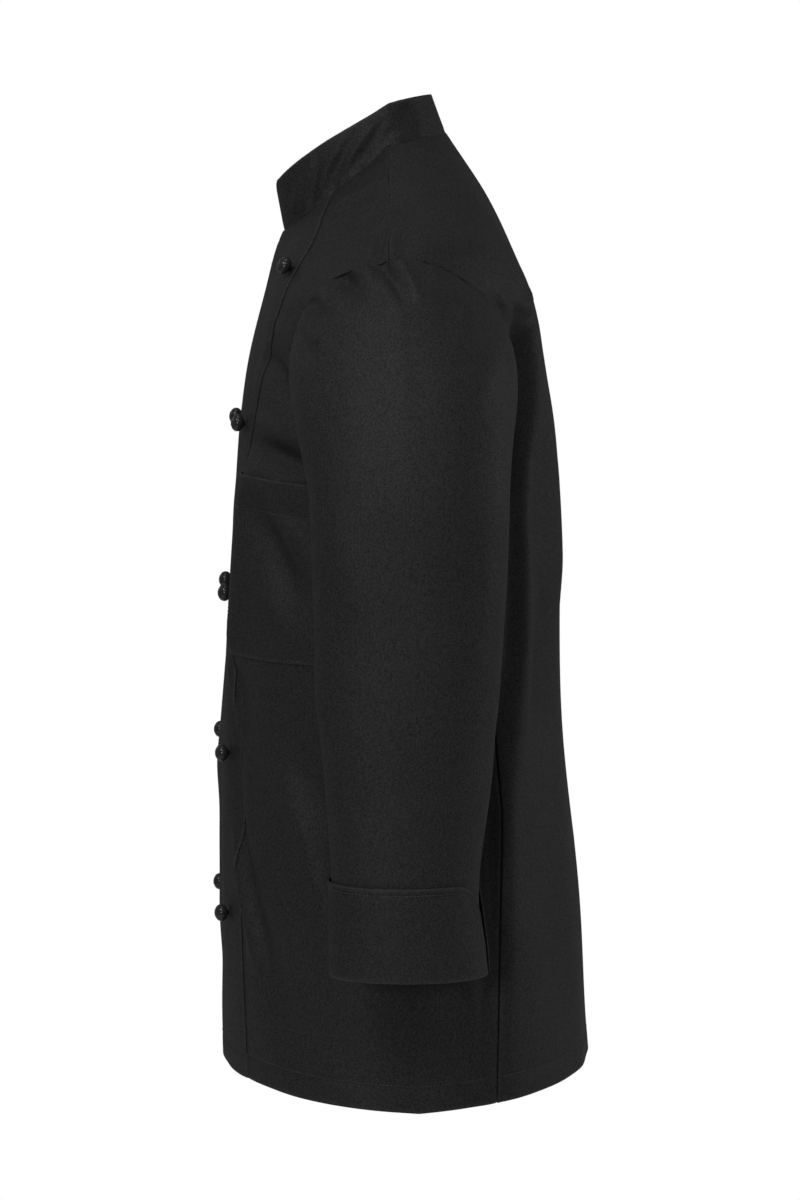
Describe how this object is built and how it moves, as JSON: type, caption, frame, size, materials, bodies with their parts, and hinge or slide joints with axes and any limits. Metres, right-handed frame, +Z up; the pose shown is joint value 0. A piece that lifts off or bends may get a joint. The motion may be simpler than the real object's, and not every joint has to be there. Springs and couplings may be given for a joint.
{
  "type": "chef jacket",
  "caption": "Worn, hollow chef jacket with lapped double-breasted front, stand collar, turned-back cuffs, chest patch pocket and ball buttons; clothes an upper body",
  "frame": {"origin": "midway between the high points of the two shoulders, where the neck seam meets the shoulder seams; the wearer's shoulders carry the jacket here", "axes": "+Z up along the length of the jacket, -Y out of its front, +X towards the wearer's left sleeve"},
  "size_m": [0.663, 0.3233, 0.8332],
  "materials": {
    "cloth": "matt black fine twill, polyester and cotton",
    "button": "polished black"
  },
  "bodies": {
    "root": {"front_left": "cloth", "front_right": "cloth", "back": "cloth", "sleeve_left": "cloth", "sleeve_right": "cloth", "cuff_left": "cloth", "cuff_right": "cloth", "collar": "cloth", "chest_pocket": "cloth", "button_left_1": "button", "button_left_2": "button", "button_left_3": "button", "button_left_4": "button", "button_left_5": "button", "button_right_1": "button", "button_right_2": "button", "button_right_3": "button", "button_right_4": "button", "button_right_5": "button"}
  },
  "joints": []
}
